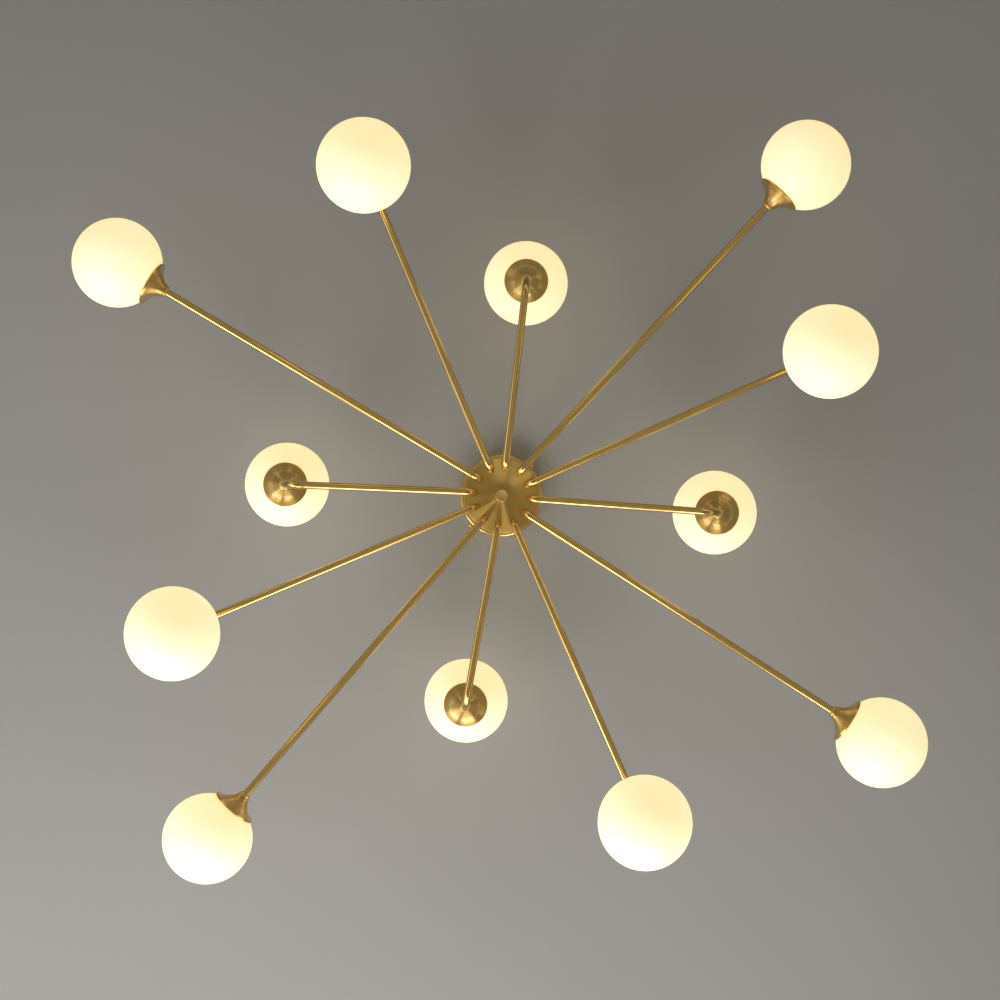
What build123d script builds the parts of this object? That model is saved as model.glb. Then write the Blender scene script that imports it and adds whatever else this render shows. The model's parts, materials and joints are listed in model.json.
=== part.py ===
from build123d import *
import os
from math import cos, radians, sin, sqrt

os.makedirs("parts", exist_ok=True)

# A twelve-arm ceiling chandelier. All sizes are in millimetres. The ceiling is the plane z = 0, the
# middle of the ceiling bracket is the origin, the bracket lies along X, and everything hangs below it.

# Gaps between pieces
running_gap = 0.05  # radial, a threaded or turning pair
swivel_gap = 0.08  # radial, an arm's threaded end in the hub plate
clear_gap = 0.3  # between pieces that move past each other

# Ceiling bracket
bracket_width = 20.0
bracket_thickness = 2.0
bracket_bend = 2.5  # outside radius of the turned-down ends
tab_drop = 18.0
slot_spacing = 70.0
slot_length = 20.0
slot_width = 5.0
earth_screw_place = 16.0  # from the middle of the bracket
earth_screw_diameter = 4.0
earth_screw_head = 8.0
earth_screw_head_height = 2.4
earth_screw_head_edge = 0.6

# Canopy and its side screws
canopy_diameter = 125.0
canopy_height = 25.0
canopy_wall = 1.2
canopy_edge = 4.0
side_screw_drop = 12.0
side_screw_diameter = 4.0
side_screw_grip = 5.0  # how far the screw passes inside its tab
knob_diameter = 7.0
knob_length = 5.5

# Terminal block
block_width = 12.0
block_length = 24.0
block_height = 12.0
block_pitch = 8.0
block_wire_hole = 3.2
block_screw_hole = 3.6
block_screw_depth = 4.0
block_chamfer = 2.4
block_place = 16.0

# Hollow threaded rod, its nuts, and the stem round it. In the two wire gaps the rod is bare and has a hole
# across it, for the wires.
rod_diameter = 10.0
rod_bore = 6.5
rod_below_ceiling = 0.5
rod_nut_flats = 14.0
rod_nut_height = 6.0
canopy_wire_gap = 10.0  # from the upper nut to the stem
hub_wire_gap = 18.0  # from the stem to the lower nut
wire_hole_diameter = 5.0
stem_diameter = 16.0
stem_wall = 1.5
stem_length = 196.0
stem_thread_length = 12.0

# Hub. The cover rests on the plate and lifts up the stem.
hub_diameter = 104.0
cover_inset = 1.0  # the cover stands this far inside the plate's edge
cover_height = 30.0
cover_wall = 1.5
cover_edge = 8.0
plate_thickness = 3.0
plate_edge = 1.0
register_height = 2.0
register_width = 2.5
finial_diameter = 18.0
finial_height = 6.0
finial_thread = 4.0
finial_edge = 1.2

# Arms
arm_count = 12
first_arm_angle = -9.3
arm_ring_radius = 38.0
arm_drop = 19.0  # from the plate's underside down to the line of the arms
tube_diameter = 10.0
tube_wall = 1.0
base_bend_radius = 15.0
end_bend_radius = 30.0
long_reach = 570.3  # from the arm's base to the globe's centre
medium_reach = 425.1  # from the arm's base to the turned-down end
short_reach = 260.4  # from the arm's base to the turned-up end
end_height = 131.0  # from the line of the arm to the globe's centre, on a turned end
nipple_diameter = 8.0
nipple_bore = 5.0
nipple_in_tube = 3.5
arm_nut_flats = 12.0
arm_nut_height = 6.0
arm_nut_flange = 15.0
arm_nut_flange_height = 1.5
nipple_past_nut = 2.0

# How each arm was left when its lock nut was tightened: its turn about its base and its droop, in degrees
arm_turns = [4.0, 0.4, -4.5, -6.1, 0.3, -0.4, 6.1, -0.6, -2.7, -4.1, -0.5, 3.3]
arm_droops = [3.9, 3.6, 4.5, 2.2, 3.6, 4.0, 2.2, 2.7, 4.1, 4.9, 4.1, 1.0]

# Cup: heights are measured from its small end towards the globe
collar_diameter = 16.0
collar_length = 3.5
collar_small_end = 12.0
groove_width = 1.4
groove_diameter = 12.4
cup_neck_diameter = 18.4
cup_bead = 0.6
cup_bead_height = 1.6
cup_floor = 1.5
cup_wall = 1.0
cup_height = 21.2
flare_height = 17.4
flare_radius = 30.7
lip_thickness = 0.8
tube_in_cup = 5.5

# Lampholder, inside the cup
holder_body_diameter = 15.0
holder_shoulder_thickness = 1.2
holder_socket_depth = 5.0
skirt_length = 5.8
pocket_length = 15.0
pocket_width = 9.0
pocket_corner = 2.2
pocket_depth = 5.8
pin_pitch = 9.0
pin_hole_diameter = 2.4
pin_hole_depth = 3.8

# Bulb
bulb_base_height = 10.0
bulb_pin_diameter = 1.4
bulb_pin_length = 3.4
bulb_diameter = 15.5
bulb_length = 38.0

# Globe
globe_diameter = 120.0
glass_thickness = 2.2
globe_neck_diameter = 28.0
globe_neck_bore = 24.0
globe_neck_length = 4.6
globe_seat_height = 10.5  # the neck's end above the cup's small end

# Heights and radii that follow
stem_top = -bracket_thickness - rod_nut_height - canopy_wire_gap
stem_bottom = stem_top - stem_length
lower_nut_top = stem_bottom - hub_wire_gap
plate_top = lower_nut_top - rod_nut_height
plate_underside = plate_top - plate_thickness
cover_bottom = plate_top + clear_gap
cover_top = cover_bottom + cover_height
arm_level = plate_underside - arm_drop
rod_bottom = plate_underside - finial_thread
rod_radius = rod_diameter / 2
threaded_hole = rod_radius + running_gap
stem_radius = stem_diameter / 2
stem_hole = stem_radius + clear_gap
canopy_radius = canopy_diameter / 2
canopy_inside = canopy_radius - canopy_wall
cover_radius = hub_diameter / 2 - cover_inset
cover_inside = cover_radius - cover_wall
tab_face = sqrt(canopy_inside**2 - (bracket_width / 2) ** 2) - clear_gap
tube_radius = tube_diameter / 2
nipple_radius = nipple_diameter / 2
nipple_hole = nipple_radius + swivel_gap
globe_radius = globe_diameter / 2
globe_neck_radius = globe_neck_diameter / 2
globe_neck_end = sqrt(globe_radius**2 - globe_neck_radius**2) + globe_neck_length
seat_to_globe = globe_neck_end + globe_seat_height
mouth_radius = sqrt((globe_radius + clear_gap) ** 2 - (seat_to_globe - cup_height) ** 2)
cup_neck_radius = cup_neck_diameter / 2
shoulder_top = globe_seat_height - clear_gap
holder_face = shoulder_top + skirt_length


def save(part, name):
    """Name a finished piece and write it."""
    part.label = name
    export_step(part, f"parts/{name}.step")


def side_view(seat):
    """The plane in which an axial piece's profile is drawn: X is the radius, Y runs along the seat's Z."""
    return Plane(seat.origin, x_dir=seat.x_dir, z_dir=-seat.y_dir)


def seat_axis(seat):
    return Axis(seat.origin, seat.z_dir)


# ---------------------------------------------------------------- ceiling bracket
with BuildPart() as ceiling_bracket:
    with BuildSketch(Plane.XZ.offset(-bracket_width / 2)) as strap:
        with Locations((0, -tab_drop / 2)):
            Rectangle(2 * tab_face, tab_drop)
        fillet(strap.vertices().group_by(Axis.Y)[-1], bracket_bend)
        with Locations((0, -tab_drop / 2 - bracket_thickness)):
            Rectangle(2 * (tab_face - bracket_thickness), tab_drop, mode=Mode.SUBTRACT)
    extrude(amount=bracket_width)
    with BuildSketch(Plane.XY):
        Circle(threaded_hole)
        with Locations((-slot_spacing / 2, 0), (slot_spacing / 2, 0)):
            SlotOverall(slot_length, slot_width)
        with Locations((-earth_screw_place, 0)):
            Circle(earth_screw_diameter / 2 + running_gap)
    extrude(amount=-bracket_thickness, mode=Mode.SUBTRACT)
    with BuildSketch(Plane.YZ):
        with Locations((0, -side_screw_drop)):
            Circle(side_screw_diameter / 2 + running_gap)
    extrude(amount=tab_face, both=True, mode=Mode.SUBTRACT)
save(ceiling_bracket.part, "ceiling_bracket")

# ---------------------------------------------------------------- earth screw
with BuildPart() as earth_screw:
    with BuildSketch(Plane.XY.offset(-bracket_thickness)):
        with Locations((-earth_screw_place, 0)):
            Circle(earth_screw_head / 2)
    extrude(amount=-earth_screw_head_height)
    fillet(earth_screw.edges().group_by(Axis.Z)[0], earth_screw_head_edge)
    with BuildSketch(Plane.XY.offset(-bracket_thickness)):
        with Locations((-earth_screw_place, 0)):
            Circle(earth_screw_diameter / 2)
    extrude(amount=bracket_thickness - rod_below_ceiling)
save(earth_screw.part, "earth_screw")

# ---------------------------------------------------------------- terminal block
with BuildPart() as terminal_block:
    with BuildSketch(Plane.XY.offset(-bracket_thickness)):
        with Locations((block_place, 0)):
            Rectangle(block_width, block_length)
    extrude(amount=-block_height)
    chamfer(terminal_block.edges().group_by(Axis.Z)[0].filter_by(Axis.Y), block_chamfer)
    with BuildSketch(Plane.YZ.offset(block_place)):
        with Locations((0, -bracket_thickness - block_height / 2)):
            with GridLocations(block_pitch, 0, 3, 1):
                Circle(block_wire_hole / 2)
    extrude(amount=block_width / 2, both=True, mode=Mode.SUBTRACT)
    with BuildSketch(Plane.XY.offset(-bracket_thickness - block_height)):
        with Locations((block_place, 0)):
            with GridLocations(0, block_pitch, 1, 3):
                Circle(block_screw_hole / 2)
    extrude(amount=block_screw_depth, mode=Mode.SUBTRACT)
save(terminal_block.part, "terminal_block")

# ---------------------------------------------------------------- canopy
with BuildPart() as canopy:
    with BuildSketch(Plane.XY):
        Circle(canopy_radius)
    extrude(amount=-canopy_height)
    fillet(canopy.edges().group_by(Axis.Z)[0], canopy_edge)
    offset(amount=-canopy_wall, openings=canopy.faces().sort_by(Axis.Z)[-1])
    with BuildSketch(Plane.XY.offset(-canopy_height)):
        Circle(stem_hole)
    extrude(amount=canopy_height, mode=Mode.SUBTRACT)
    with BuildSketch(Plane.YZ):
        with Locations((0, -side_screw_drop)):
            Circle(side_screw_diameter / 2 + clear_gap)
        with Locations((0, -side_screw_drop / 2)):
            Rectangle(side_screw_diameter + 2 * clear_gap, side_screw_drop)
    extrude(amount=canopy_radius, both=True, mode=Mode.SUBTRACT)
save(canopy.part, "canopy")

# ---------------------------------------------------------------- canopy side screws, one each way along X
with BuildPart() as canopy_screws:
    for way in (-1, 1):
        with BuildSketch(Plane.XZ) as screw_side:
            with BuildLine():
                inner = tab_face - bracket_thickness - side_screw_grip
                knob_start = canopy_radius + clear_gap
                knob_end = knob_start + knob_length
                top = -side_screw_drop + knob_diameter / 2
                shank_top = -side_screw_drop + side_screw_diameter / 2
                Polyline(
                    (way * inner, -side_screw_drop),
                    (way * inner, shank_top),
                    (way * knob_start, shank_top),
                    (way * knob_start, top),
                    (way * (knob_end - knob_diameter / 2), top),
                )
                RadiusArc(
                    (way * (knob_end - knob_diameter / 2), top),
                    (way * knob_end, -side_screw_drop),
                    way * knob_diameter / 2,
                )
                Line((way * knob_end, -side_screw_drop), (way * inner, -side_screw_drop))
            make_face()
        revolve(axis=Axis((0, 0, -side_screw_drop), (1, 0, 0)))
save(canopy_screws.part, "canopy_screws")

# ---------------------------------------------------------------- threaded rod
with BuildPart() as threaded_rod:
    with BuildSketch(Plane.XY.offset(rod_bottom)):
        Circle(rod_radius)
        Circle(rod_bore / 2, mode=Mode.SUBTRACT)
    extrude(amount=-rod_below_ceiling - rod_bottom)
    with BuildSketch(Plane.YZ):
        with Locations((0, stem_top + canopy_wire_gap / 2), (0, stem_bottom - hub_wire_gap / 2)):
            Circle(wire_hole_diameter / 2)
    extrude(amount=rod_radius, both=True, mode=Mode.SUBTRACT)
save(threaded_rod.part, "threaded_rod")

# ---------------------------------------------------------------- rod nuts, under the bracket and on the hub plate
with BuildPart() as rod_nuts:
    for nut_top in (-bracket_thickness, lower_nut_top):
        with BuildSketch(Plane.XY.offset(nut_top)):
            RegularPolygon(rod_nut_flats / 2, 6, major_radius=False)
            Circle(threaded_hole, mode=Mode.SUBTRACT)
        extrude(amount=-rod_nut_height)
save(rod_nuts.part, "rod_nuts")

# ---------------------------------------------------------------- stem, a tube with threaded ends
with BuildPart() as stem:
    with BuildSketch(Plane.XY.offset(stem_top)):
        Circle(stem_radius)
        Circle(threaded_hole, mode=Mode.SUBTRACT)
    extrude(amount=-stem_length)
    with BuildSketch(Plane.XY.offset(stem_top - stem_thread_length)):
        Circle(stem_radius - stem_wall)
    extrude(amount=-(stem_length - 2 * stem_thread_length), mode=Mode.SUBTRACT)
save(stem.part, "stem")

# ---------------------------------------------------------------- hub cover, loose on the stem
with BuildPart() as hub_cover:
    with BuildSketch(Plane.XY.offset(cover_bottom)):
        Circle(cover_radius)
    extrude(amount=cover_height)
    fillet(hub_cover.edges().group_by(Axis.Z)[-1], cover_edge)
    offset(amount=-cover_wall, openings=hub_cover.faces().sort_by(Axis.Z)[0])
    with BuildSketch(Plane.XY.offset(cover_top)):
        Circle(stem_hole)
    extrude(amount=-2 * cover_wall, mode=Mode.SUBTRACT)
save(hub_cover.part, "hub_cover")

# ---------------------------------------------------------------- hub plate
with BuildPart() as hub_plate:
    with BuildSketch(Plane.XY.offset(plate_underside)):
        Circle(hub_diameter / 2)
    extrude(amount=plate_thickness)
    fillet(hub_plate.edges().group_by(Axis.Z)[0], plate_edge)
    with BuildSketch(Plane.XY.offset(plate_top)):
        Circle(cover_inside - clear_gap)
        Circle(cover_inside - clear_gap - register_width, mode=Mode.SUBTRACT)
    extrude(amount=register_height)
    with BuildSketch(Plane.XY.offset(plate_underside)):
        Circle(threaded_hole)
        with PolarLocations(arm_ring_radius, arm_count, start_angle=first_arm_angle):
            Circle(nipple_hole)
    extrude(amount=plate_thickness, mode=Mode.SUBTRACT)
save(hub_plate.part, "hub_plate")

# ---------------------------------------------------------------- arm lock nuts, with flanges, on the plate
with BuildPart() as arm_nuts:
    with PolarLocations(arm_ring_radius, arm_count, start_angle=first_arm_angle):
        with Locations((0, 0, plate_top)):
            Cylinder(
                arm_nut_flange / 2,
                arm_nut_flange_height,
                align=(Align.CENTER, Align.CENTER, Align.MIN),
            )
    with BuildSketch(Plane.XY.offset(plate_top)):
        with PolarLocations(arm_ring_radius, arm_count, start_angle=first_arm_angle):
            RegularPolygon(arm_nut_flats / 2, 6, major_radius=False)
    extrude(amount=arm_nut_height)
    with BuildSketch(Plane.XY.offset(plate_top)):
        with PolarLocations(arm_ring_radius, arm_count, start_angle=first_arm_angle):
            Circle(nipple_hole)
    extrude(amount=arm_nut_height, mode=Mode.SUBTRACT)
save(arm_nuts.part, "arm_nuts")

# ---------------------------------------------------------------- finial, a cap nut on the rod's lower end
with BuildPart() as finial:
    with BuildSketch(Plane.XY.offset(plate_underside - clear_gap)):
        Circle(finial_diameter / 2)
    extrude(amount=-finial_height)
    fillet(finial.edges().group_by(Axis.Z)[0], finial_edge)
    with BuildSketch(Plane.XY.offset(plate_underside - clear_gap)):
        Circle(threaded_hole)
    extrude(amount=-finial_thread, mode=Mode.SUBTRACT)
save(finial.part, "finial")


# ---------------------------------------------------------------- the twelve arms and what they carry
def arm_layout(number):
    """The arm's side plane, the corners of its tube and the seat of its cup.

    The side plane's X points along the arm and its Y points up. An arm droops by a few degrees. Long arms
    carry the globe straight on, medium arms turn down and short arms turn up, square to the drooping line.
    """
    base_angle = radians(first_arm_angle + number * 360 / arm_count)
    heading = base_angle + radians(arm_turns[number])
    droop = radians(arm_droops[number])
    base = (arm_ring_radius * cos(base_angle), arm_ring_radius * sin(base_angle), 0)
    side = Plane(base, x_dir=(cos(heading), sin(heading), 0), z_dir=(sin(heading), -cos(heading), 0))
    along = Vector(cos(droop), -sin(droop))
    square_up = Vector(sin(droop), cos(droop))
    top = Vector(0, plate_underside - clear_gap)
    corner = Vector(0, arm_level)
    kind = ("long", "medium", "short")[number % 3]
    if kind == "long":
        bends = []
        towards_globe = along
        globe_centre = corner + along * long_reach
    elif kind == "medium":
        bends = [corner + along * medium_reach]
        towards_globe = square_up * -1
        globe_centre = bends[0] + towards_globe * end_height
    else:
        bends = [corner + along * short_reach]
        towards_globe = square_up
        globe_centre = bends[0] + towards_globe * end_height
    seat_point = globe_centre - towards_globe * seat_to_globe
    tube_end = seat_point + towards_globe * tube_in_cup
    route = [side.from_local_coords(point) for point in [top, corner] + bends + [tube_end]]
    tip = side.from_local_coords(towards_globe) - side.origin
    seat = Plane(side.from_local_coords(seat_point), x_dir=side.z_dir, z_dir=tip)
    return side, route, seat


def make_arm(number, side, route, seat):
    """The bent tube with its threaded upper end, and the collar that locks the cup on its other end."""
    with BuildPart() as arm:
        with BuildLine() as centre_line:
            FilletPolyline(*route, radius=[base_bend_radius, end_bend_radius][: len(route) - 2])
        with BuildSketch(Plane(route[0], x_dir=side.z_dir, z_dir=centre_line.line % 0)):
            Circle(tube_radius)
            Circle(tube_radius - tube_wall, mode=Mode.SUBTRACT)
        sweep()
        shoulder = Plane(route[0], z_dir=(0, 0, 1))
        with BuildSketch(shoulder.offset(-nipple_in_tube)):
            Circle(nipple_radius)
            Circle(nipple_bore / 2, mode=Mode.SUBTRACT)
        extrude(amount=nipple_in_tube + clear_gap + plate_thickness + arm_nut_height + nipple_past_nut)
    with BuildPart() as collar:
        with BuildSketch(side_view(seat)):
            with BuildLine():
                bore = tube_radius + running_gap
                Polyline(
                    (bore, 0),
                    (groove_diameter / 2, 0),
                    (groove_diameter / 2, -groove_width),
                    (collar_diameter / 2, -groove_width),
                    (collar_diameter / 2, -groove_width - collar_length / 2),
                    (collar_small_end / 2, -groove_width - collar_length),
                    (bore, -groove_width - collar_length),
                    close=True,
                )
            make_face()
        revolve(axis=seat_axis(seat))
    return Compound(children=[arm.part, collar.part])


def flare_centre():
    """The middle of the flare's arc, outside the cup, from its two ends and its radius."""
    start = Vector(cup_neck_radius, cup_bead_height)
    end = Vector(mouth_radius, flare_height)
    chord = end - start
    height = sqrt(flare_radius**2 - (chord.length / 2) ** 2)
    return (start + end) * 0.5 + Vector(chord.Y, -chord.X).normalized() * height


def on_flare(centre, radius, height):
    """The radius at which a flare arc crosses a height."""
    return centre.X - sqrt(radius**2 - (height - centre.Y) ** 2)


def make_cup(seat):
    """The bell: a floor with a hole for the tube, a beaded neck, a hollow flare and a rolled lip."""
    centre = flare_centre()
    inner_radius = flare_radius + cup_wall
    inner_top = centre + (Vector(mouth_radius, flare_height) - centre) * (inner_radius / flare_radius)
    inner_start = Vector(on_flare(centre, inner_radius, cup_floor), cup_floor)
    inner_middle_height = (inner_top.Y + cup_floor) / 2
    outer_middle_height = (flare_height + cup_bead_height) / 2
    hole = tube_radius + running_gap
    with BuildPart() as cup:
        with BuildSketch(side_view(seat)):
            with BuildLine():
                Line((hole, cup_floor), (hole, 0))
                Line((hole, 0), (cup_neck_radius, 0))
                ThreePointArc(
                    (cup_neck_radius, 0),
                    (cup_neck_radius + cup_bead, cup_bead_height / 2),
                    (cup_neck_radius, cup_bead_height),
                )
                ThreePointArc(
                    (cup_neck_radius, cup_bead_height),
                    (on_flare(centre, flare_radius, outer_middle_height), outer_middle_height),
                    (mouth_radius, flare_height),
                )
                ThreePointArc(
                    (mouth_radius, flare_height),
                    (mouth_radius + lip_thickness, (flare_height + cup_height) / 2),
                    (mouth_radius, cup_height),
                )
                Line((mouth_radius, cup_height), inner_top)
                ThreePointArc(
                    inner_top,
                    (on_flare(centre, inner_radius, inner_middle_height), inner_middle_height),
                    inner_start,
                )
                Line(inner_start, (hole, cup_floor))
            make_face()
        revolve(axis=seat_axis(seat))
    return cup.part


def make_lampholder(seat):
    """A ceramic body screwed on the tube, with a shoulder, the skirt that the globe turns on, and a socket."""
    with BuildPart() as lampholder:
        with BuildSketch(side_view(seat)):
            with BuildLine():
                hole = tube_radius + running_gap
                body = holder_body_diameter / 2
                shoulder_bottom = shoulder_top - holder_shoulder_thickness
                shoulder = on_flare(flare_centre(), flare_radius + cup_wall + clear_gap, shoulder_bottom)
                skirt = globe_neck_bore / 2 - running_gap
                Polyline(
                    (hole, cup_floor),
                    (body, cup_floor),
                    (body, shoulder_bottom),
                    (shoulder, shoulder_bottom),
                    (shoulder, shoulder_top),
                    (skirt, shoulder_top),
                    (skirt, holder_face),
                    (0, holder_face),
                    (0, cup_floor + holder_socket_depth),
                    (hole, cup_floor + holder_socket_depth),
                    close=True,
                )
            make_face()
        revolve(axis=seat_axis(seat))
        with BuildSketch(seat.offset(holder_face)):
            RectangleRounded(pocket_length, pocket_width, pocket_corner)
        extrude(amount=-pocket_depth, mode=Mode.SUBTRACT)
        with BuildSketch(seat.offset(holder_face - pocket_depth)):
            with Locations((-pin_pitch / 2, 0), (pin_pitch / 2, 0)):
                Circle(pin_hole_diameter / 2)
        extrude(amount=-pin_hole_depth, mode=Mode.SUBTRACT)
    return lampholder.part


def make_bulb(seat):
    """A two-pin capsule bulb: pins, a flat base in the socket's pocket, and a round-ended capsule."""
    base_bottom = holder_face - pocket_depth + clear_gap
    capsule_bottom = base_bottom + bulb_base_height
    tip = base_bottom + bulb_length
    bulb_radius = bulb_diameter / 2
    with BuildPart() as bulb:
        with BuildSketch(side_view(seat)):
            with BuildLine():
                Polyline(
                    (0, tip),
                    (0, capsule_bottom),
                    (bulb_radius, capsule_bottom),
                    (bulb_radius, tip - bulb_radius),
                )
                RadiusArc((bulb_radius, tip - bulb_radius), (0, tip), -bulb_radius)
            make_face()
        revolve(axis=seat_axis(seat))
        with BuildSketch(seat.offset(base_bottom)):
            RectangleRounded(
                pocket_length - 2 * clear_gap, pocket_width - 2 * clear_gap, pocket_corner - clear_gap
            )
        extrude(amount=bulb_base_height)
        with BuildSketch(seat.offset(base_bottom)):
            with Locations((-pin_pitch / 2, 0), (pin_pitch / 2, 0)):
                Circle(bulb_pin_diameter / 2)
        extrude(amount=-bulb_pin_length)
    return bulb.part


def make_globe(seat):
    """A hollow blown globe whose short neck turns on the lampholder's skirt."""
    inside = globe_radius - glass_thickness
    bore = globe_neck_bore / 2
    bottom = globe_seat_height
    outer_start = seat_to_globe - sqrt(globe_radius**2 - globe_neck_radius**2)
    inner_end = seat_to_globe - sqrt(inside**2 - bore**2)
    with BuildPart() as globe:
        with BuildSketch(side_view(seat)):
            with BuildLine():
                Line((bore, bottom), (globe_neck_radius, bottom))
                Line((globe_neck_radius, bottom), (globe_neck_radius, outer_start))
                ThreePointArc(
                    (globe_neck_radius, outer_start),
                    (globe_radius, seat_to_globe),
                    (0, seat_to_globe + globe_radius),
                )
                Line((0, seat_to_globe + globe_radius), (0, seat_to_globe + inside))
                ThreePointArc((0, seat_to_globe + inside), (inside, seat_to_globe), (bore, inner_end))
                Line((bore, inner_end), (bore, bottom))
            make_face()
        revolve(axis=seat_axis(seat))
    return globe.part


for number in range(arm_count):
    side, route, seat = arm_layout(number)
    save(make_arm(number, side, route, seat), f"arm_{number + 1:02d}")
    save(make_cup(seat), f"cup_{number + 1:02d}")
    save(Compound(children=[make_lampholder(seat), make_bulb(seat)]), f"lamp_{number + 1:02d}")
    save(make_globe(seat), f"globe_{number + 1:02d}")
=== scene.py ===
"""The finish of a twelve-arm ceiling chandelier: satin brass arms, bell cups and opal globes on a flat hub.

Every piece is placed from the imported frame: an arm's swivel gives the place of its root, and a globe's box
and slide give the globe's middle and the way it faces. Lengths are metres, and the ceiling lies at z = 0.
"""

import json

import bmesh
import bpy
import numpy as np
from bpy.props import FloatProperty, FloatVectorProperty, IntProperty, PointerProperty
from bpy.types import Operator, Panel, PropertyGroup
from mathutils import Matrix, Vector


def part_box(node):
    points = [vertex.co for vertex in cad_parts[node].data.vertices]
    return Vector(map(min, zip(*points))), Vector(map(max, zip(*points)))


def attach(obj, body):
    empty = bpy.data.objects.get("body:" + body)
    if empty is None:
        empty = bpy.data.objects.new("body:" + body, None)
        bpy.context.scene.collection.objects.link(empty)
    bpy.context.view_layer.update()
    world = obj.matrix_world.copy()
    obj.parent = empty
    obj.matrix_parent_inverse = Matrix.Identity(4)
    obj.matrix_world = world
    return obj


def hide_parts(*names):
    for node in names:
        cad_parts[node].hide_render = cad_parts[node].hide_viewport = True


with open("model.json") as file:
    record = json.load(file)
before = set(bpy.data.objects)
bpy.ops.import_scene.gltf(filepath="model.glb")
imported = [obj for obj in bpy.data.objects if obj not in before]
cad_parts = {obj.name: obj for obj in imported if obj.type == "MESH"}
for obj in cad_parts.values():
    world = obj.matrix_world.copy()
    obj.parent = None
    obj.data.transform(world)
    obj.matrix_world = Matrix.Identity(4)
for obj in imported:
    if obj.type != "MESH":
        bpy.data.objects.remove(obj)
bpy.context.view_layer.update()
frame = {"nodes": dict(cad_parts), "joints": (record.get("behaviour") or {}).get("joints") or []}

bl_info = {
    "name": "Sputnik chandelier",
    "version": (1, 0, 0),
    "blender": (4, 5, 0),
    "location": "View3D > Sidebar > Chandelier",
    "description": "Dresses the chandelier's frame in brushed brass and opal glass and sets its stage",
    "category": "Object",
}

ARM_NUMBERS = range(1, 13)
UP = np.array([0.0, 0.0, 1.0])
JOINTS = {joint["name"]: joint for joint in frame["joints"]}

SAME_POINT = 1e-7  # points nearer than this are one point
SHARP = 35.0  # an edge that turns by more degrees than this stays sharp
THREAD_SHARP = 20.0  # the same for a thread
CHAMFER = 0.0005  # taken off the ends of threads and of the lampholder's skirt
SOFT_EDGE = 0.0003  # takes the sharpness off a small turned edge
CEILING_GAP = 0.0003  # from the canopy's upper edge up to the ceiling
CLEAR_REACH = (0.0610, 0.0612)  # the ceiling over the canopy turns from clear to solid between these radii
SENSOR_WIDTH = 36.0  # millimetres

# How often brushed lines change in a metre: twice square to a piece's length, and once along it
SPUN_LINES = (40.0, 40.0, 6000.0)
CUP_LINES = (60.0, 60.0, 5000.0)
COLLAR_LINES = (200.0, 200.0, 9000.0)
KNOB_LINES = (300.0, 300.0, 8000.0)
STEM_LINES = (5000.0, 5000.0, 40.0)
TUBE_LINES = (4000.0, 4000.0, 25.0)
PLATE_LINES = (2500.0, 2500.0, 2500.0)
BLASTED_GRIT = (1800.0, 1800.0, 1800.0)
FAN_OUT = 0.25  # a quarter turn, with which highlights fan out across lines that run round a piece
LACQUER_ROUGHNESS = 0.12
LACQUER_IOR = 1.6


# ------------------------------------------------------------------ sizes and colours a user would change
def length(name, default, description):
    """A length property, in metres."""
    return FloatProperty(name=name, description=description, default=default, unit="LENGTH", precision=5)


def number(name, default, description):
    """A plain number property."""
    return FloatProperty(name=name, description=description, default=default, precision=4)


def angle(name, default, description):
    """An angle property, written here in degrees."""
    return FloatProperty(name=name, description=description, default=np.radians(default), subtype="ANGLE")


def colour(name, default, description):
    """A colour property, as the linear red, green and blue that a shader takes."""
    return FloatVectorProperty(
        name=name, description=description, default=default, subtype="COLOR", min=0, max=1)


class HubSizes(PropertyGroup):
    plate_radius: length("Plate radius", 0.052, "Outside radius of the plate under the hub")
    plate_thickness: length("Plate thickness", 0.003, "Thickness of that plate")
    plate_edge: length("Plate edge", 0.001, "Radius of the plate's lower edge")
    plate_hole: length("Plate hole", 0.00415, "Radius of each arm's hole in the plate")
    ring_radius: length("Ring radius", 0.0492, "Outside radius of the ring that keeps the cover in place")
    ring_width: length("Ring width", 0.0025, "Width of that ring")
    cover_radius: length("Cover radius", 0.051, "Outside radius of the bell over the hub")
    cover_wall: length("Cover wall", 0.0015, "Thickness of the cover's sheet")
    cover_edge: length("Cover edge", 0.008, "Radius of the cover's upper edge")
    finial_edge: length("Finial edge", 0.0012, "Radius of the finial's lower edge")
    finial_dish: length("Finial dish", 0.0003, "Depth of the shallow dish turned in the finial's face")
    finial_thread: length("Finial thread", 0.004, "Depth of the finial's threaded hole")
    rod_radius: length("Rod radius", 0.005, "Outside radius of the threaded rod")
    rod_bore: length("Rod bore", 0.00325, "Radius of the wireway through the rod")
    thread_pitch: length("Thread pitch", 0.001, "Pitch of the rod's thread")
    running_gap: length("Running gap", 0.00005, "Radial gap of a threaded or turning pair")
    stem_radius: length("Stem radius", 0.008, "Outside radius of the stem")
    stem_wall: length("Stem wall", 0.0015, "Wall of the stem between its threaded ends")
    stem_thread: length("Stem thread", 0.012, "Length of the thread at each end of the stem")


class CanopySizes(PropertyGroup):
    radius: length("Radius", 0.0625, "Outside radius of the canopy")
    wall: length("Wall", 0.0012, "Thickness of the canopy's sheet")
    edge: length("Edge", 0.004, "Radius of the canopy's lower edge")
    hole: length("Hole", 0.0083, "Radius of the hole that the stem passes")
    slot_drop: length("Slot drop", 0.012, "Depth of the side slots down to their screws' middle")
    slot_radius: length("Slot radius", 0.0023, "Half the width of a side slot")
    screw_radius: length("Screw radius", 0.002, "Outside radius of a side screw's shank")
    screw_tip: length("Screw tip", 0.0531, "From the stem's axis out to a side screw's inner end")
    knob_ridges: IntProperty(name="Knob ridges", description="Ridges round a side screw's knob", default=20)
    knob_ridge_depth: length("Ridge depth", 0.00018, "How deep the knob's ridges are cut")


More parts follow.
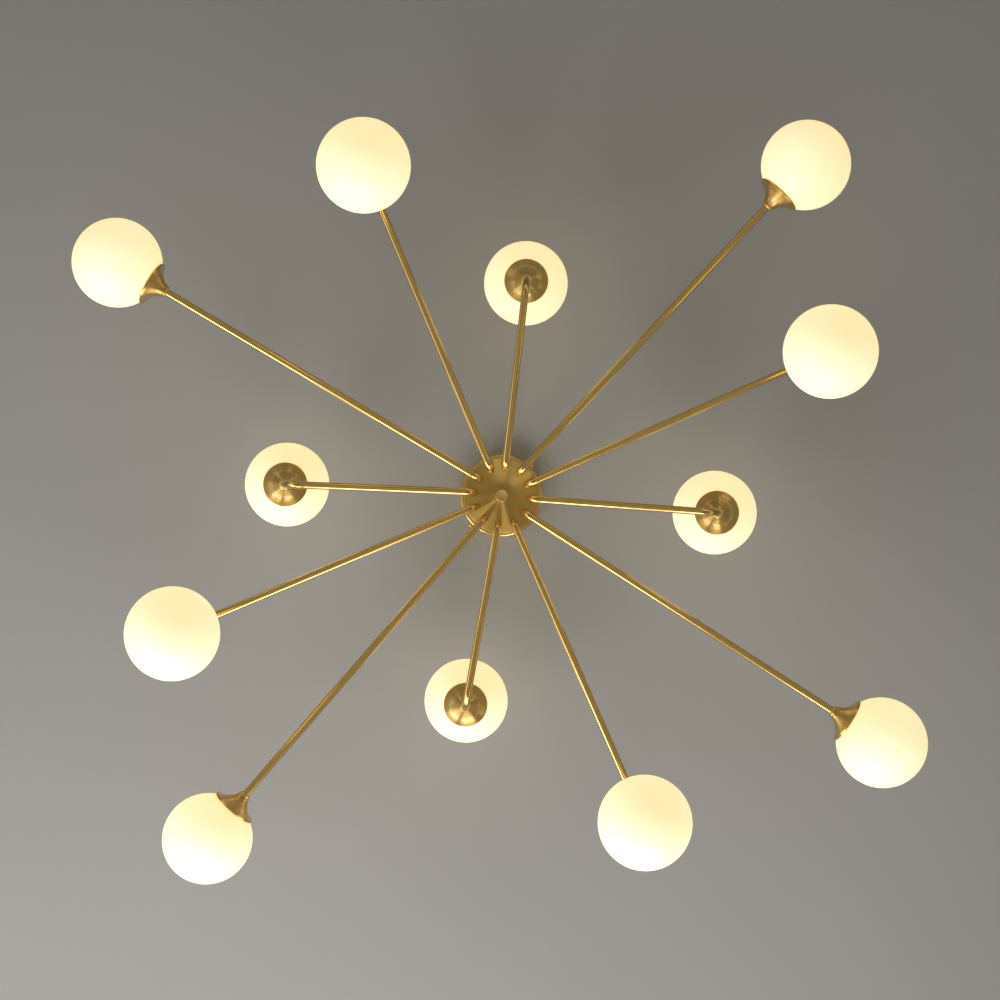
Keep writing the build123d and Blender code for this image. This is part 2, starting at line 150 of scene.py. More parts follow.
class ArmSizes(PropertyGroup):
    tube_radius: length("Tube radius", 0.005, "Outside radius of an arm's tube")
    tube_wall: length("Tube wall", 0.001, "Wall of the tube")
    top_gap: length("Top gap", 0.0003, "Gap between the tube's upper end and the hub plate")
    drop: length("Drop", 0.019, "From the hub plate's underside down to the line of the arms")
    root_bend: length("Root bend", 0.015, "Radius of the bend under the hub")
    end_bend: length("End bend", 0.030, "Radius of a turned end")
    end_height: length("End height", 0.131, "From the line of the arm to the globe's middle, on a turned end")
    in_cup: length("In cup", 0.0055, "How far the tube reaches into the cup")
    nipple_radius: length("Nipple radius", 0.004, "Outside radius of the threaded end")
    nipple_bore: length("Nipple bore", 0.0025, "Radius of the wireway through the threaded end")
    nipple_in_tube: length("Nipple in tube", 0.0035, "How deep the threaded end sits in the tube")
    nipple_pitch: length("Nipple pitch", 0.001, "Pitch of the threaded end")


class CupSizes(PropertyGroup):
    collar_radius: length("Collar radius", 0.008, "Largest radius of the collar that locks the cup")
    collar_small: length("Collar small end", 0.006, "Radius of the collar's small end")
    collar_length: length("Collar length", 0.0035, "Length of the collar's tapered part")
    groove_radius: length("Groove radius", 0.0062, "Radius at the groove between collar and cup")
    groove_width: length("Groove width", 0.0014, "Width of that groove")
    neck_radius: length("Neck radius", 0.0092, "Radius of the cup's small end")
    bead: length("Bead", 0.0006, "How far the bead stands out at the cup's small end")
    bead_height: length("Bead height", 0.0016, "Height of that bead")
    floor: length("Floor", 0.0015, "Thickness of the cup's floor")
    wall: length("Wall", 0.001, "Wall of the flare")
    flare_radius: length("Flare radius", 0.0307, "Radius of the flare's hollow arc")
    flare_height: length("Flare height", 0.0174, "Height at which the flare meets the lip")
    height: length("Height", 0.0212, "Height of the whole cup")
    lip: length("Lip", 0.0008, "How far the rolled lip stands out")
    globe_gap: length("Globe gap", 0.0003, "Gap between the lip and the globe")


class LampSizes(PropertyGroup):
    body_radius: length("Body radius", 0.0075, "Radius of the lampholder's body")
    shoulder_thickness: length("Shoulder", 0.0012, "Thickness of the shoulder under the globe's neck")
    skirt_length: length("Skirt length", 0.0058, "Length of the skirt that the globe turns on")
    socket_radius: length("Socket radius", 0.0062, "Radius of the round mouth round the bulb's base")
    socket_depth: length("Socket depth", 0.0052, "Depth of that mouth")
    tube_socket: length("Tube socket", 0.005, "Depth of the socket that the tube sits in")
    bulb_base: length("Bulb base", 0.010, "Height of the bulb's base")
    bulb_radius: length("Bulb radius", 0.00775, "Radius of the bulb")
    bulb_length: length("Bulb length", 0.038, "Length of the bulb without its pins")


class GlobeSizes(PropertyGroup):
    radius: length("Radius", 0.060, "Outside radius of a globe")
    glass: length("Glass", 0.0022, "Thickness of the glass")
    neck_radius: length("Neck radius", 0.014, "Outside radius of the globe's neck")
    neck_bore: length("Neck bore", 0.012, "Inside radius of the globe's neck")
    neck_length: length("Neck length", 0.0046, "Length of the globe's neck")
    seat_height: length("Seat height", 0.0105, "The neck's end above the cup's small end")


class Finishes(PropertyGroup):
    brass: colour("Brass", (0.92, 0.62, 0.17), "Satin brass where it is brightest")
    brass_shade: colour("Brass shade", (0.76, 0.48, 0.11), "Satin brass in its brushed lines")
    brass_roughness: number("Brass roughness", 0.27, "Mean roughness of the turned and spun brass")
    tube_roughness: number("Tube roughness", 0.18, "Mean roughness of the drawn tubes")
    cup_roughness: number("Cup roughness", 0.40, "Mean roughness of cups and collars")
    plate_roughness: number("Plate roughness", 0.45, "Mean roughness of the hub plate's circular brushing")
    plate_anisotropy: number("Plate anisotropy", 0.95, "How strongly that brushing draws light into fans")
    plate_coat: number("Plate coat", 0.2, "Lacquer on the hub plate, as a share of the lacquer elsewhere")
    finial: colour("Finial brass", (0.92, 0.66, 0.23), "Brass of the finial, matt and a little paler")
    lacquer: number("Lacquer", 1.0, "Weight of the clear lacquer over the brass")
    glass: colour("Opal glass", (0.78, 0.77, 0.74), "Opal glass under white light")
    glow_neck: colour("Glow at the neck", (1.0, 0.74, 0.28), "Lamplight through the glass near the neck")
    glow_middle: colour("Glow at the middle", (1.0, 0.78, 0.385), "Lamplight through the glass half way")
    glow_far: colour("Glow at the far end", (1.0, 0.715, 0.28), "Lamplight through the glass at its far end")
    glow_strength: number("Glow strength", 0.87, "Strength of the lamplight in the glass")
    zinc: colour("Zinc", (0.55, 0.56, 0.58), "Zinc plating on bracket, rod and nuts")
    ceramic: colour("Ceramic", (0.80, 0.79, 0.74), "Glazed lampholder")
    plastic: colour("Plastic", (0.78, 0.78, 0.74), "Terminal block")


class StageSettings(PropertyGroup):
    ceiling_width: length("Ceiling width", 9.0, "Side of the ceiling")
    ceiling_colour: colour("Ceiling colour", (0.43, 0.422, 0.402), "Matt ceiling paint")
    floor_drop: length("Floor drop", 3.9, "Depth of the floor under the ceiling")
    floor_width: length("Floor width", 60.0, "Side of the floor")
    floor_colour: colour("Floor colour", (0.74, 0.71, 0.65), "Plain pale floor")
    room_light: colour("Room light", (1.0, 0.97, 0.92), "Colour of the soft light from all round")
    room_strength: number("Room strength", 0.15, "Strength of the soft light from all round")
    window_power: number("Window power", 17.5, "Watts of each window")
    left_turn: angle("Left turn", -42.0, "Left window's turn from the picture's lower side to its right")
    right_turn: angle("Right turn", 4.0, "Right window's turn from the picture's lower side to its right")
    window_distance: length("Window distance", 1.9, "From the stem out to windows and ring lights")
    window_drop: length("Window drop", 1.1, "Depth of their middles under the ceiling")
    window_width: length("Window width", 1.2, "Width of each window")
    window_height: length("Window height", 1.2, "Height of each window")
    side_power: number("Side power", 4.0, "Watts of the light at the picture's left")
    side_turn: angle("Side turn", -80.0, "Turn of that light from the picture's lower side to its right")
    side_width: length("Side width", 1.4, "Width of that light")
    ring_count: IntProperty(name="Ring count", description="Weak lights round the stem", default=8)
    ring_power: number("Ring power", 1.4, "Watts of each ring light")
    ring_width: length("Ring light width", 1.7, "Width of each ring light")
    ring_height: length("Ring light height", 0.5, "Height of each ring light")
    low_light_drop: length("Low light drop", 2.7, "Depth of the soft light that shines down on the floor")
    low_light_width: length("Low light width", 3.0, "Side of that light")
    low_light_power: number("Low light power", 8.0, "Watts of that light")
    camera_drop: length("Camera drop", 2.4635, "Depth of the camera under the ceiling")
    camera_x: length("Camera X", 0.00857, "The camera's X")
    camera_y: length("Camera Y", 0.00406, "The camera's Y")
    camera_lens: number("Lens", 58.03, "Focal length in millimetres on a 36 mm sensor")
    camera_turn: angle("Turn", 223.8, "Direction of the picture's right, from the row's X")
    camera_lean_right: angle("Lean right", 0.17, "How far the camera leans to the picture's right")
    camera_lean_down: angle("Lean down", 0.08, "How far the camera leans to the picture's lower side")


class ChandelierSettings(PropertyGroup):
    hub: PointerProperty(type=HubSizes)
    canopy: PointerProperty(type=CanopySizes)
    arm: PointerProperty(type=ArmSizes)
    cup: PointerProperty(type=CupSizes)
    lamp: PointerProperty(type=LampSizes)
    globe: PointerProperty(type=GlobeSizes)
    finish: PointerProperty(type=Finishes)
    stage: PointerProperty(type=StageSettings)


def settings():
    """The scene's own sizes and colours."""
    return bpy.context.scene.chandelier


def hole_for(radius):
    """The radius of a hole that turns, slides or screws on something of a radius."""
    return radius + settings().hub.running_gap


# ------------------------------------------------------------------ profiles and paths, as rows of points
def points(*pairs):
    """Straight stretches of a profile, as rows of (radius, height)."""
    return np.array(pairs, float)


def arc(centre, radius, start, end, steps=12):
    """Points at the centre plus the radius times (cos a, sin a), with a from start to end in degrees."""
    a = np.radians(np.linspace(start, end, steps + 1))
    return np.stack([centre[0] + radius * np.cos(a), centre[1] + radius * np.sin(a)], axis=1)


def arc_between(centre, start, end, steps=12):
    """The shorter arc about a centre from one point to another, its radius running evenly between theirs."""
    a, b = np.subtract(start, centre), np.subtract(end, centre)
    first, last = np.arctan2(a[1], a[0]), np.arctan2(b[1], b[0])
    last = first + (last - first + np.pi) % (2 * np.pi) - np.pi
    t = np.linspace(0, 1, steps + 1)
    turn = first + (last - first) * t
    radius = np.hypot(*a) + (np.hypot(*b) - np.hypot(*a)) * t
    return np.stack([centre[0] + radius * np.cos(turn), centre[1] + radius * np.sin(turn)], axis=1)


def bulge(start, end, depth, steps=8):
    """A half sine on the straight line from start to end, standing out to the line's right by depth."""
    start, end = np.array(start, float), np.array(end, float)
    t = np.linspace(0, 1, steps + 1)[:, None]
    run = end - start
    right = np.array([run[1], -run[0]]) / np.hypot(*run)
    return start + run * t + right * depth * np.sin(np.pi * t)


def joined(*stretches):
    """One profile from several stretches, with a point that two of them share kept once."""
    rows = np.concatenate(stretches)
    keep = np.ones(len(rows), bool)
    keep[1:] = np.hypot(*(rows[1:] - rows[:-1]).T) > SAME_POINT
    return rows[keep]


def threaded(radius, bore, bottom, top, pitch):
    """The outline of a threaded tube: rings whose radius falls and rises by half the pitch once in each
    pitch, then the chamfered upper end, the bore and the chamfered lower end."""
    height = np.arange(bottom, top, pitch / 2)
    crest = np.where(np.arange(len(height)) % 2 == 0, radius, radius - 0.5 * pitch)
    ends = points((radius - CHAMFER, top), (bore, top), (bore, bottom), (radius - CHAMFER, bottom))
    return joined(np.stack([crest, height], axis=1), ends)


def rounded_route(corners, radii, steps=16):
    """Straight runs joined by arcs. At each corner the arc touches both runs at radius times tan(half the
    turn) from it, and its middle lies square to the first run, on the side that the route turns to."""
    corners = [np.array(corner, float) for corner in corners]
    rows = [corners[0][None]]
    for before, corner, after, radius in zip(corners, corners[1:], corners[2:], radii):
        into = (corner - before) / np.hypot(*(corner - before))
        out = (after - corner) / np.hypot(*(after - corner))
        cross = into[0] * out[1] - into[1] * out[0]
        turn = np.arctan2(cross, into @ out)
        touch = corner - into * radius * np.tan(abs(turn) / 2)
        left = np.array([-into[1], into[0]]) * np.sign(turn)
        t = np.linspace(0, abs(turn), steps + 1)[:, None]
        rows.append(touch + left * radius * (1 - np.cos(t)) + into * radius * np.sin(t))
    rows.append(corners[-1][None])
    return np.concatenate(rows)


# ------------------------------------------------------------------ surfaces, as grids of points
class Seat:
    """A place and a direction: the axis, and two directions square to it and to each other."""

    def __init__(self, origin, axis):
        self.origin = np.array(origin, float)
        self.axis = np.array(axis, float) / np.linalg.norm(axis)
        helper = UP if abs(self.axis @ UP) < 0.9 else np.array([1.0, 0.0, 0.0])
        self.side = np.cross(helper, self.axis)
        self.side /= np.linalg.norm(self.side)
        self.across = np.cross(self.axis, self.side)


STEM_AXIS = Seat((0, 0, 0), UP)


def run_length(rows):
    """The distance travelled along rows of points, from 0 at the first."""
    steps = np.linalg.norm(np.diff(rows, axis=0), axis=1)
    return np.concatenate([[0.0], np.cumsum(steps)])


def turned(profile, seat, steps=96, ridges=0, ridge_depth=0.0):
    """A profile carried round an axis: origin + height * axis + radius * (cos a * side + sin a * across).
    Ridges make the radius fall by half the ridge depth times (1 - cos(ridges * a))."""
    a = np.linspace(0, 2 * np.pi, steps, endpoint=False)
    round_it = np.cos(a)[:, None] * seat.side + np.sin(a)[:, None] * seat.across
    radius = profile[:, 0][:, None] * np.ones(steps)
    radius = np.maximum(radius - ridge_depth / 2 * (1 - np.cos(ridges * a)) * (profile[:, 0][:, None] > 0), 0)
    grid = seat.origin + profile[:, 1][:, None, None] * seat.axis + radius[:, :, None] * round_it
    along = run_length(profile)
    widest = profile[:, 0].max()
    grain = np.empty_like(grid)
    grain[..., 0] = widest * np.cos(a)
    grain[..., 1] = widest * np.sin(a)
    grain[..., 2] = along[:, None]
    return grid, grain, along


def piped(route, plane_x, base, radius, bore, steps=40):
    """A hollow tube on a route in the upright plane through base: ring points are route + r * (cos a * square
    + sin a * level), where square is the route's tangent turned by 90 degrees in the plane, and level is
    square to the plane. The outer wall runs down the route and the inner wall back, so the grid closes."""
    tangent = np.gradient(route, axis=0)
    tangent /= np.linalg.norm(tangent, axis=1)[:, None]
    square = np.stack([-tangent[:, 1], tangent[:, 0]], axis=1)
    plane = np.stack([plane_x, UP])
    level = np.cross(plane_x, UP)
    a = np.linspace(0, 2 * np.pi, steps, endpoint=False)
    along = run_length(route)
    walls, grains, runs = [], [], []
    for wall_radius, order in ((radius, slice(None)), (bore, slice(None, None, -1))):
        middle = (base + route @ plane)[order]
        out = (square @ plane)[order]
        ring = np.cos(a)[None, :, None] * out[:, None, :] + np.sin(a)[None, :, None] * level
        walls.append(middle[:, None, :] + wall_radius * ring)
        grain = np.empty((len(middle), steps, 3))
        grain[..., 0] = radius * np.cos(a)
        grain[..., 1] = radius * np.sin(a)
        grain[..., 2] = along[order][:, None]
        grains.append(grain)
        runs.append(along[order])
    return np.concatenate(walls), np.concatenate(grains), np.concatenate(runs)


def surface(name, grid, grain, along, closed=True, sharp=SHARP):
    """A mesh from a grid of points: each cell is a face, the last column joins the first, and so does the
    last row if the grid is closed. It keeps the UV map "surface" (turn, length) and the attribute "grain"."""
    rows, columns = grid.shape[:2]
    row = np.arange(rows if closed else rows - 1)
    column = np.arange(columns)
    r, c = np.meshgrid(row, column, indexing="ij")
    next_r, next_c = (r + 1) % rows, (c + 1) % columns
    start, next_start = r * columns, next_r * columns
    faces = np.stack([start + c, start + next_c, next_start + next_c, next_start + c], -1).reshape(-1, 4)
    corners = grid.reshape(-1, 3)[faces]
    volume = np.einsum("ij,ij->i", corners[:, 0], np.cross(corners[:, 1], corners[:, 2])).sum()
    volume += np.einsum("ij,ij->i", corners[:, 0], np.cross(corners[:, 2], corners[:, 3])).sum()
    turn = np.stack([c, c + 1, c + 1, c], -1).reshape(-1, 4) / columns
    run = np.stack([along[r], along[r], along[next_r], along[next_r]], -1).reshape(-1, 4)
    if volume < 0:
        faces, turn, run = faces[:, ::-1], turn[:, ::-1], run[:, ::-1]
    mesh = bpy.data.meshes.new(name)
    mesh.from_pydata(grid.reshape(-1, 3).tolist(), [], faces.tolist())
    uv = mesh.uv_layers.new(name="surface")
    uv.data.foreach_set("uv", np.stack([turn, run], -1).astype(np.float32).ravel())
    stored = mesh.attributes.new("grain", "FLOAT_VECTOR", "POINT")
    stored.data.foreach_set("vector", grain.astype(np.float32).ravel())
    close_poles(mesh)
    mesh.polygons.foreach_set("use_smooth", np.ones(len(mesh.polygons), bool))
    mesh.set_sharp_from_angle(angle=np.radians(sharp))
    piece = bpy.data.objects.new(name, mesh)
    bpy.context.scene.collection.objects.link(piece)
    return piece


def close_poles(mesh):
    """Merges the points of a row that has shrunk to one point."""
    made = bmesh.new()
    made.from_mesh(mesh)
    bmesh.ops.remove_doubles(made, verts=made.verts, dist=SAME_POINT)
    made.to_mesh(mesh)
    made.free()


def dress(piece, material, body, slot, *nodes):
    """Gives a piece its material, the body it rides on and the CAD nodes that it stands for. The slot is not
    used.
    """
    piece.data.materials.append(material)
    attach(piece, body)
    if nodes:
        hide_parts(*nodes)


def turned_piece(name, outline, seat, steps, material, body, slot, node, closed=True):
    """Carries an outline round a seat and dresses the piece that this makes."""
    piece = surface(name, *turned(outline, seat, steps), closed=closed)
    dress(piece, material, body, slot, node)


def paint(node, material):
    """Gives a CAD node that stays as it is its material."""
    slots = frame["nodes"][node].material_slots
    for place in slots:
        place.material = material
    if not slots:
        frame["nodes"][node].data.materials.append(material)


# ------------------------------------------------------------------ where the frame puts things
class ArmPlace:
    """Where an arm's parts are, worked out from its joints and its globe's box.

    A globe's neck only reaches past its ball on the cup's side, so on the other side of each axis the box
    ends one radius from the globe's middle.
    """

    def __init__(self, index):
        sizes = settings()
        self.tag = f"{index:02d}"
        self.body = f"arm_{self.tag}"
        self.globe_body = f"globe_{self.tag}"
        self.towards = np.array(JOINTS[f"globe_{self.tag}_unscrew"]["axis"], float)
        root = np.array(JOINTS[f"arm_{self.tag}_swivel"]["pos_m"], float)
        low, high = (np.array(corner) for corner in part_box(f"globe_{self.tag}"))
        radius = sizes.globe.radius
        self.middle = np.where(self.towards > 0, high - radius, low + radius)
        neck = np.sqrt(radius**2 - sizes.globe.neck_radius**2) + sizes.globe.neck_length
        self.seat_to_globe = neck + sizes.globe.seat_height
        self.seat = Seat(self.middle - self.towards * self.seat_to_globe, self.towards)
        self.base = np.array([root[0], root[1], 0.0])
        outwards = (self.middle - self.base) * [1, 1, 0]
        self.plane_x = outwards / np.linalg.norm(outwards)
        self.tube_top = root[2] - sizes.arm.top_gap
        self.line_height = root[2] - sizes.arm.drop

    def flat(self, point):
        """A point of the arm's upright plane as (distance outwards, height)."""
        return np.array([(point - self.base) @ self.plane_x, point[2]])

    def route(self):
        """The corners of the tube's middle line in the upright plane, with the radius at each bend."""
        arm = settings().arm
        corners = [
            np.array([0.0, self.tube_top]),
            np.array([0.0, self.line_height]),
        ]
        radii = [arm.root_bend]
        if abs(self.towards[2]) > 0.5:
            corners.append(self.flat(self.middle - self.towards * arm.end_height))
            radii.append(arm.end_bend)
        corners.append(self.flat(self.seat.origin + self.towards * arm.in_cup))
        return corners, radii


def arm_places():
    """The places of all twelve arms."""
    return [ArmPlace(index) for index in ARM_NUMBERS]


def flare_middle(place):
    """The middle of the flare's arc, and the radius of the cup's mouth, which clears the globe by the gap."""
    sizes = settings()
    cup = sizes.cup
    reach = sizes.globe.radius + cup.globe_gap
    mouth = np.sqrt(reach**2 - (place.seat_to_globe - cup.height) ** 2)
    start = np.array([cup.neck_radius, cup.bead_height])
    end = np.array([mouth, cup.flare_height])
    chord = end - start
    out = np.array([chord[1], -chord[0]]) / np.hypot(*chord)
    return (start + end) / 2 + out * np.sqrt(cup.flare_radius**2 - (chord @ chord) / 4), mouth


# ------------------------------------------------------------------ finishes
def shader(name):
    """A new material with its node tree and its principled shader."""
    material = bpy.data.materials.new(name)
    material.use_nodes = True
    tree = material.node_tree
    return material, tree, tree.nodes["Principled BSDF"]


def give(tree, node, inputs):
    """Sets a node's inputs, by name or number, to numbers, colours or other nodes' outputs."""
    for key, value in inputs.items():
        if isinstance(value, bpy.types.NodeSocket):
            tree.links.new(value, node.inputs[key])
        else:
            node.inputs[key].default_value = value
    return node


def add(tree, kind, inputs=None, **values):
    """A new node with its settings and its inputs."""
    node = tree.nodes.new(kind)
    for key, value in values.items():
        setattr(node, key, value)
    return give(tree, node, inputs or {})


def worked_out(tree, operation, first, second, clamp=False):
    """The result of a sum on two values."""
    inputs = {0: first, 1: second}
    return add(tree, "ShaderNodeMath", inputs, operation=operation, use_clamp=clamp).outputs["Value"]


def noise(tree, vector, scale, detail=2.0, roughness=0.5):
    """Noise from 0 to 1 about a vector that is stretched by three scales."""
    stretched = add(tree, "ShaderNodeMapping", {"Vector": vector, "Scale": scale})
    inputs = {"Vector": stretched.outputs["Vector"], "Scale": 1.0, "Detail": detail, "Roughness": roughness}
    return add(tree, "ShaderNodeTexNoise", inputs).outputs["Fac"]


def spread(tree, value, low, high, start=0.3, end=0.7):
    """A value's range from start to end carried to the range from low to high."""
    inputs = {"Value": value, "From Min": start, "From Max": end, "To Min": low, "To Max": high}
    return add(tree, "ShaderNodeMapRange", inputs).outputs["Result"]


def blended(tree, share, first, second):
    """Two colours mixed by a share."""
    inputs = {"Factor": share, "A": (*first, 1), "B": (*second, 1)}
    return add(tree, "ShaderNodeMix", inputs, data_type="RGBA").outputs["Result"]


def bump(tree, height, distance, strength):
    """A normal that is dented by a height."""
    inputs = {"Height": height, "Distance": distance, "Strength": strength}
    return add(tree, "ShaderNodeBump", inputs).outputs["Normal"]


def place_of(tree):
    """Where a point is."""
    return add(tree, "ShaderNodeTexCoord").outputs["Object"]


def grain_of(tree):
    """Where a point is on the piece unrolled: round it, round it and along it."""
    return add(tree, "ShaderNodeAttribute", attribute_name="grain").outputs["Vector"]


def run_of(tree):
    """How far along a piece a point is."""
    return add(tree, "ShaderNodeSeparateXYZ", {"Vector": grain_of(tree)}).outputs["Z"]


def mottled(name, tint, fade, scale, detail=2.0, grit=0.5, start=0.3, end=0.7):
    """A material whose tint fades in patches to a share of itself, with its tree, shader and patches."""
    material, tree, body = shader(name)
    patches = noise(tree, place_of(tree), (scale, scale, scale), detail, grit)
    share = spread(tree, patches, 0.0, 1.0, start, end)
    give(tree, body, {"Base Color": blended(tree, share, tint, tuple(fade * c for c in tint))})
    return material, tree, body, patches


def brushed_brass(name, lines, anisotropy, rotation=FAN_OUT, roughness=None, coat=1.0, tint=None,
                  radial=False):
    """Satin brass. Its brushed lines are noise drawn out along the brushing, which tints the metal, changes
    its roughness and dents it. Slow clouds over them stand for uneven lacquer. The brushing runs with the
    piece's own UV map or, where it is radial, round the stem."""
    finish = settings().finish
    material, tree, metal = shader(name)
    streaks = noise(tree, place_of(tree) if radial else grain_of(tree), lines, detail=4.0, roughness=0.7)
    clouds = noise(tree, place_of(tree), (22.0, 22.0, 22.0), detail=3.0)
    share = worked_out(tree, "ADD", spread(tree, streaks, 0.0, 0.45), spread(tree, clouds, 0.0, 0.35))
    rough = roughness or finish.brass_roughness
    if radial:
        way = add(tree, "ShaderNodeTangent", direction_type="RADIAL", axis="Z")
    else:
        way = add(tree, "ShaderNodeTangent", direction_type="UV_MAP", uv_map="surface")
    give(tree, metal, {
        "Base Color": blended(tree, share, finish.brass if tint is None else tint, finish.brass_shade),
        "Metallic": 1.0,
        "Roughness": spread(tree, streaks, rough * 0.8, rough * 1.25),
        "Normal": bump(tree, streaks, 0.00002, 0.35),
        "Anisotropic": anisotropy,
        "Anisotropic Rotation": rotation,
        "Tangent": way.outputs["Tangent"],
        "Coat Weight": coat * finish.lacquer,
        "Coat Roughness": LACQUER_ROUGHNESS,
        "Coat IOR": LACQUER_IOR,
    })
    return material


def opal_glass(name, outside):
    """Opal glass lit by its bulb. Along the grain's length, from the neck to the far end, the lamplight goes
    from amber to cream and back; the glass itself is a satin white with a faint cloudiness."""
    finish = settings().finish
    material, tree, glass, clouds = mottled(name, finish.glass, fade=0.97, scale=9.0, detail=3.0)
    share = spread(tree, run_of(tree), 0.0, 1.0, 0.0, outside)
    glow = add(tree, "ShaderNodeValToRGB", {"Fac": share})
    stops = glow.color_ramp.elements
    stops[0].color = (*finish.glow_neck, 1)
    stops[1].color = (*finish.glow_far, 1)
    stops.new(0.45).color = (*finish.glow_middle, 1)
    give(tree, glass, {
        "Emission Color": glow.outputs["Color"],
        "Emission Strength": finish.glow_strength,
        "Roughness": spread(tree, clouds, 0.36, 0.44),
        "IOR": 1.5,
    })
    return material


def zinc_steel(name):
    """Bright zinc plating: grey metal with a fine mottle in tint and roughness."""
    tint = settings().finish.zinc
    material, tree, metal, mottle = mottled(name, tint, fade=0.72, scale=420.0, detail=5.0, grit=0.65)
    give(tree, metal, {
        "Metallic": 1.0,
        "Roughness": spread(tree, mottle, 0.28, 0.46),
        "Normal": bump(tree, mottle, 0.00002, 0.4),
    })
    return material


def white_ceramic(name):
    """Glazed steatite: off-white with faint specks and a soft gloss."""
    tint = settings().finish.ceramic
    material, tree, body, specks = mottled(name, tint, fade=0.85, scale=900.0, start=0.55, end=0.8)
    give(tree, body, {"Roughness": spread(tree, specks, 0.25, 0.4)})
    return material


def frosted_bulb(name):
    """A frosted capsule that glows above its clouded base."""
    finish, lamp = settings().finish, settings().lamp
    material, tree, body = shader(name)
    clouds = noise(tree, grain_of(tree), (160.0, 160.0, 160.0))
    light = spread(tree, run_of(tree), 0.0, 1.0, lamp.bulb_base, lamp.bulb_base + lamp.bulb_radius)
    give(tree, body, {
        "Base Color": blended(tree, spread(tree, clouds, 0.0, 1.0), finish.glass, finish.ceramic),
        "Emission Color": blended(tree, light, (0.0, 0.0, 0.0), finish.glow_far),
        "Emission Strength": 1.0,
        "Roughness": 0.35,
    })
    return material


def matt_plastic(name):
    """Moulded terminal block: off-white with the fine texture of its mould."""
    tint = settings().finish.plastic
    material, tree, body, texture = mottled(name, tint, fade=0.93, scale=1500.0, detail=3.0)
    give(tree, body, {
        "Roughness": spread(tree, texture, 0.5, 0.65),
        "Normal": bump(tree, texture, 0.00001, 0.5),
    })
    return material


def wall_paint(name, tint, roughness):
    """Matt paint with a faint roller mottle, with its tree and shader."""
    material, tree, coat, _ = mottled(name, tint, fade=0.97, scale=3.0, detail=6.0, grit=0.7)
    give(tree, coat, {"Roughness": roughness, "Specular IOR Level": 0.2})
    return material, tree, coat


def clear_from_behind(tree, coat):
    """Makes a paint clear from behind. Over the canopy it is also clear to every ray but the camera's, so
    that the canopy's inside isn't pitch dark from above."""
    reach = add(tree, "ShaderNodeVectorMath", {"Vector": place_of(tree)}, operation="LENGTH").outputs["Value"]
    over_canopy = spread(tree, reach, 1.0, 0.0, *CLEAR_REACH)
    seen = add(tree, "ShaderNodeLightPath").outputs["Is Camera Ray"]
    unseen = worked_out(tree, "SUBTRACT", over_canopy, seen, clamp=True)
    back = add(tree, "ShaderNodeNewGeometry").outputs["Backfacing"]
    share = worked_out(tree, "MAXIMUM", unseen, back)
    clear = add(tree, "ShaderNodeBsdfTransparent").outputs["BSDF"]
    either = add(tree, "ShaderNodeMixShader", {"Fac": share, 1: coat.outputs["BSDF"], 2: clear})
    give(tree, tree.nodes["Material Output"], {"Surface": either.outputs["Shader"]})


# ------------------------------------------------------------------ operators, one for each piece or group
class CHANDELIER_OT_stage(Operator):
    """Ceiling, floor, soft lights and the camera under the chandelier"""

    bl_idname = "chandelier.stage"
    bl_label = "Stage"

    def execute(self, context):
        stage = settings().stage
        ceiling_paint, tree, coat = wall_paint("ceiling_paint", stage.ceiling_colour, 0.9)
        clear_from_behind(tree, coat)
        flat("ceiling", stage.ceiling_width, CEILING_GAP, ceiling_paint, faces_down=True)
        floor_paint, _, _ = wall_paint("floor_paint", stage.floor_colour, 0.8)
        flat("floor", stage.floor_width, -stage.floor_drop, floor_paint)
        room(stage)
        right, upwards = picture_axes(stage)
        lights_round_the_stem(stage, right, upwards)
        width = stage.low_light_width
        soft_light("floor_light", width, width, stage.low_light_power, -stage.low_light_drop * UP, -UP)
        place_camera(context.scene, stage, right, upwards)
        context.scene.view_settings.view_transform = "Standard"
        return {"FINISHED"}


def flat(name, width, height, material, faces_down=False):
    """A square stage plane at a height, facing up or down."""
    half = width / 2
    corners = [(-half, -half, height), (half, -half, height), (half, half, height), (-half, half, height)]
    mesh = bpy.data.meshes.new(name)
    mesh.from_pydata(corners, [], [(3, 2, 1, 0) if faces_down else (0, 1, 2, 3)])
    mesh.materials.append(material)
    plane = bpy.data.objects.new(name, mesh)
    bpy.context.scene.collection.objects.link(plane)


def room(stage):
    """An even soft light from all round."""
    world = bpy.data.worlds.new("room")
    world.use_nodes = True
    background = world.node_tree.nodes["Background"]
    background.inputs["Color"].default_value = (*stage.room_light, 1)
    background.inputs["Strength"].default_value = stage.room_strength
    bpy.context.scene.world = world


def picture_axes(stage):
    """The picture's right and its upper side as directions along the ceiling."""
    right = np.array([np.cos(stage.camera_turn), np.sin(stage.camera_turn), 0.0])
    return right, -np.cross(UP, right)


def soft_light(name, width, height, power, place, faces):
    """A soft rectangular light that the camera doesn't see."""
    lamp = bpy.data.lights.new(name, "AREA")
    lamp.shape = "RECTANGLE"
    lamp.size, lamp.size_y = width, height
    lamp.energy = power
    holder = bpy.data.objects.new(name, lamp)
    bpy.context.scene.collection.objects.link(holder)
    holder.location = place
    holder.rotation_mode = "QUATERNION"
    holder.rotation_quaternion = Vector(faces).to_track_quat("-Z", "Y")
    holder.visible_camera = False


